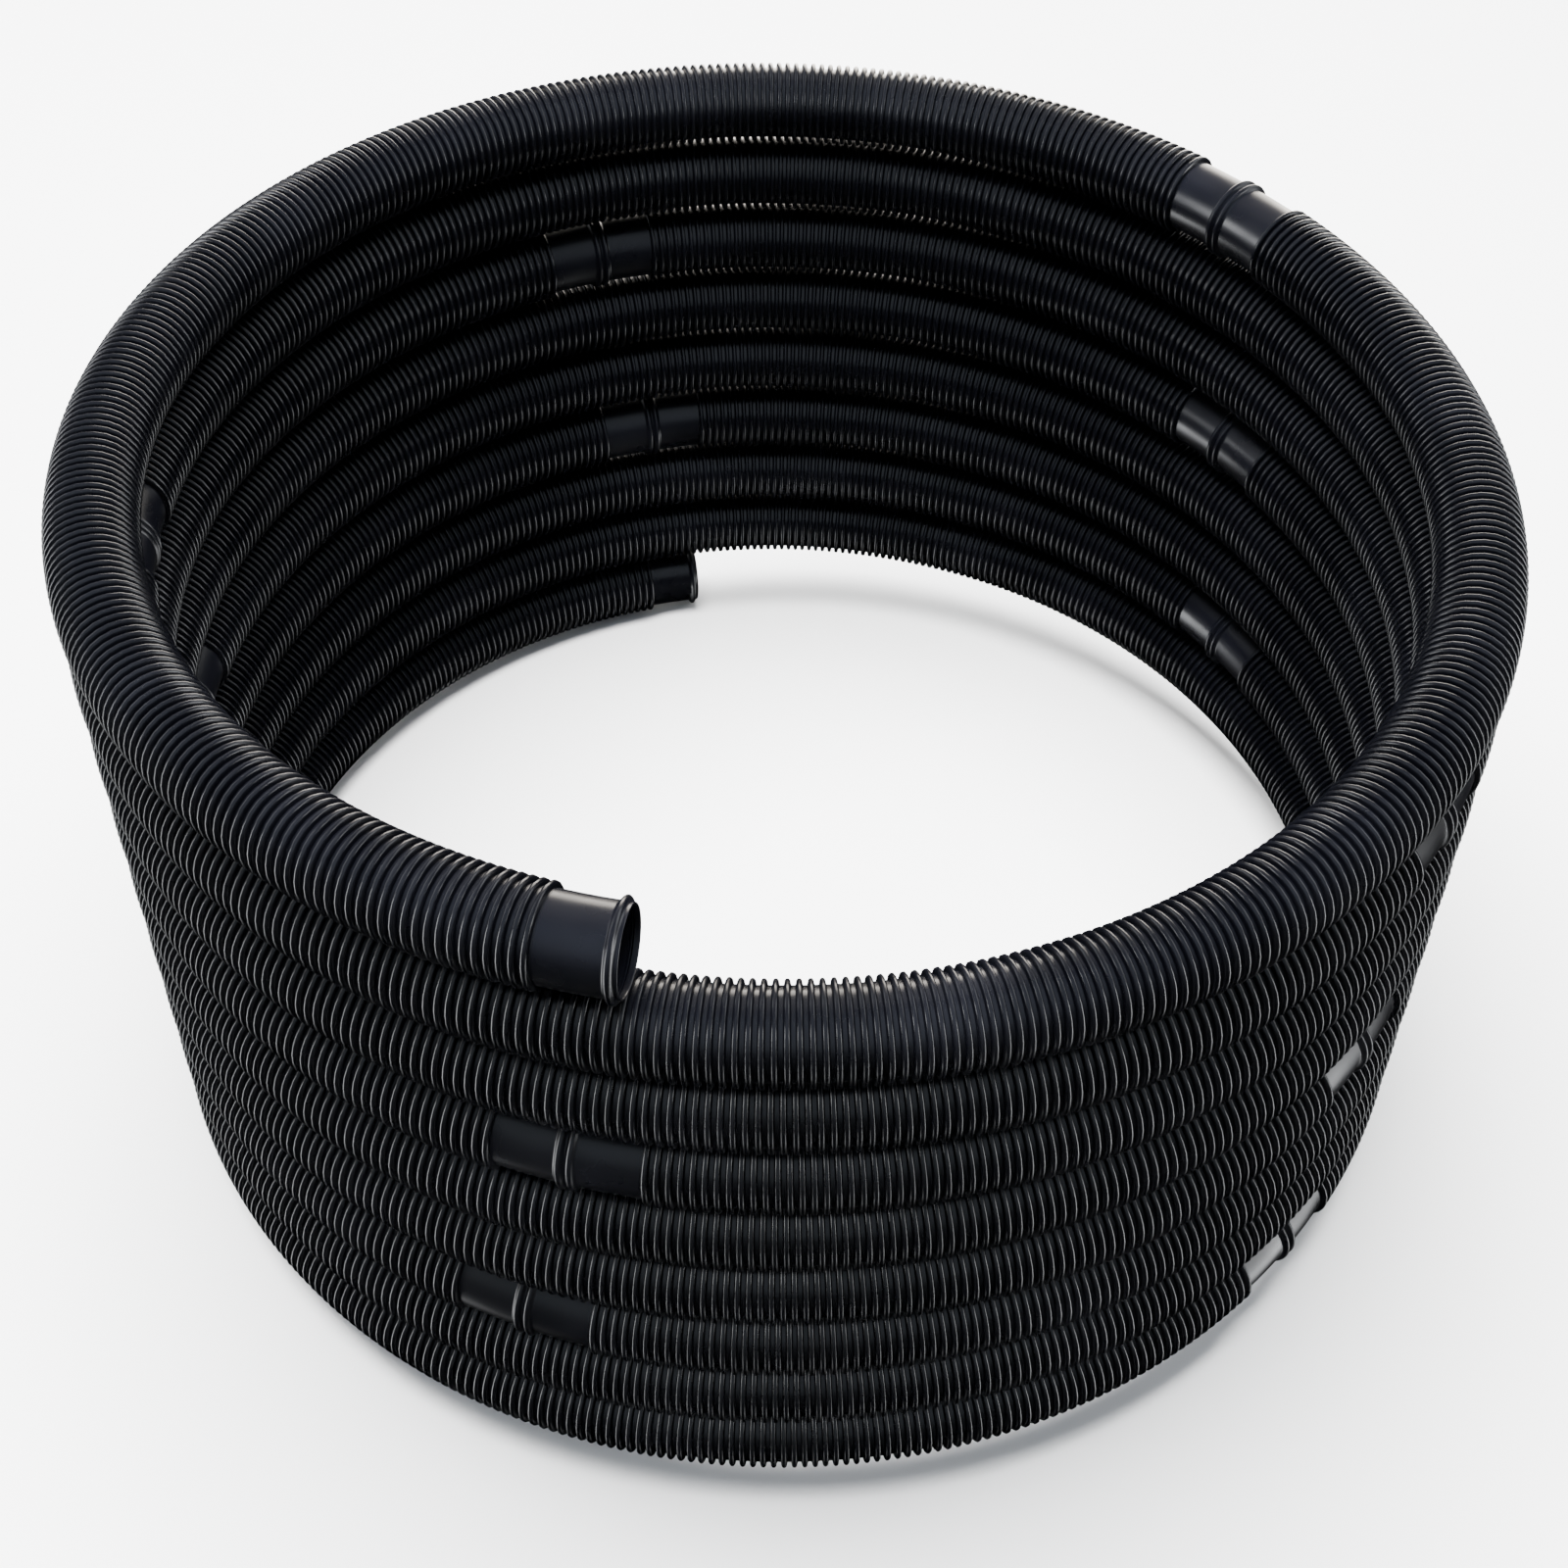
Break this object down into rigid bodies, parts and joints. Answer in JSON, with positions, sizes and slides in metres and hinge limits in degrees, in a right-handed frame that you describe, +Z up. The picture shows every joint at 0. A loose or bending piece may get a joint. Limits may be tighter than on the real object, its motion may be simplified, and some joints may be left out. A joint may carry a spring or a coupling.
{
  "type": "pool vacuum hose",
  "caption": "Corrugated pool vacuum hose wound into a standing cylindrical coil, with smooth double cuffs to cut between and an open bead-edged cuff at each end.",
  "frame": {"origin": "on the coil's axis at floor level, under the middle of the coil's box", "axes": "+Z up along the coil's axis; the top mouth is at 259 degrees anticlockwise from +X seen from above, and the hose runs down clockwise"},
  "size_m": [0.6196, 0.6198, 0.3715],
  "materials": {
    "hose": "satin black corrugated polyethylene",
    "cuff": "smooth satin black polyethylene"
  },
  "bodies": {
    "coil": {"hose_length_01": "hose", "hose_length_02": "hose", "hose_length_03": "hose", "hose_length_04": "hose", "hose_length_05": "hose", "hose_length_06": "hose", "hose_length_07": "hose", "hose_length_08": "hose", "hose_length_09": "hose", "hose_length_10": "hose", "hose_length_11": "hose", "hose_length_12": "hose", "hose_length_13": "hose", "hose_length_14": "hose", "double_cuff_01": "cuff", "double_cuff_02": "cuff", "double_cuff_03": "cuff", "double_cuff_04": "cuff", "double_cuff_05": "cuff", "double_cuff_06": "cuff", "double_cuff_07": "cuff", "double_cuff_08": "cuff", "double_cuff_09": "cuff", "double_cuff_10": "cuff", "double_cuff_11": "cuff", "double_cuff_12": "cuff", "double_cuff_13": "cuff"},
    "top_free_end": {"free_end_top_root": "hose"},
    "top_tip": {"free_end_top_tip": "hose", "end_cuff_top": "cuff"},
    "bottom_free_end": {"free_end_bottom_root": "hose"},
    "bottom_tip": {"free_end_bottom_tip": "hose", "end_cuff_bottom": "cuff"}
  },
  "joints": [
    {"name": "top_end_swing", "type": "hinge", "parent": "coil", "child": "top_free_end", "pos_m": [-0.26731, -0.11347, 0.34636], "axis": [0, 0, -1], "range_deg": [-10, 30], "stiffness_Nm_per_rad": 0.8},
    {"name": "top_tip_lift", "type": "hinge", "parent": "top_free_end", "child": "top_tip", "pos_m": [-0.14957, -0.24892, 0.35031], "axis": [-0.515, -0.8572, 0], "range_deg": [0, 20], "stiffness_Nm_per_rad": 0.5},
    {"name": "bottom_end_swing", "type": "hinge", "parent": "coil", "child": "bottom_free_end", "pos_m": [-0.2679, 0.11207, 0.02534], "axis": [0, 0, 1], "range_deg": [-10, 30], "stiffness_Nm_per_rad": 0.8},
    {"name": "bottom_tip_swing", "type": "hinge", "parent": "bottom_free_end", "child": "bottom_tip", "pos_m": [-0.15086, 0.24814, 0.02139], "axis": [0, 0, 1], "range_deg": [-10, 20], "stiffness_Nm_per_rad": 0.5}
  ]
}
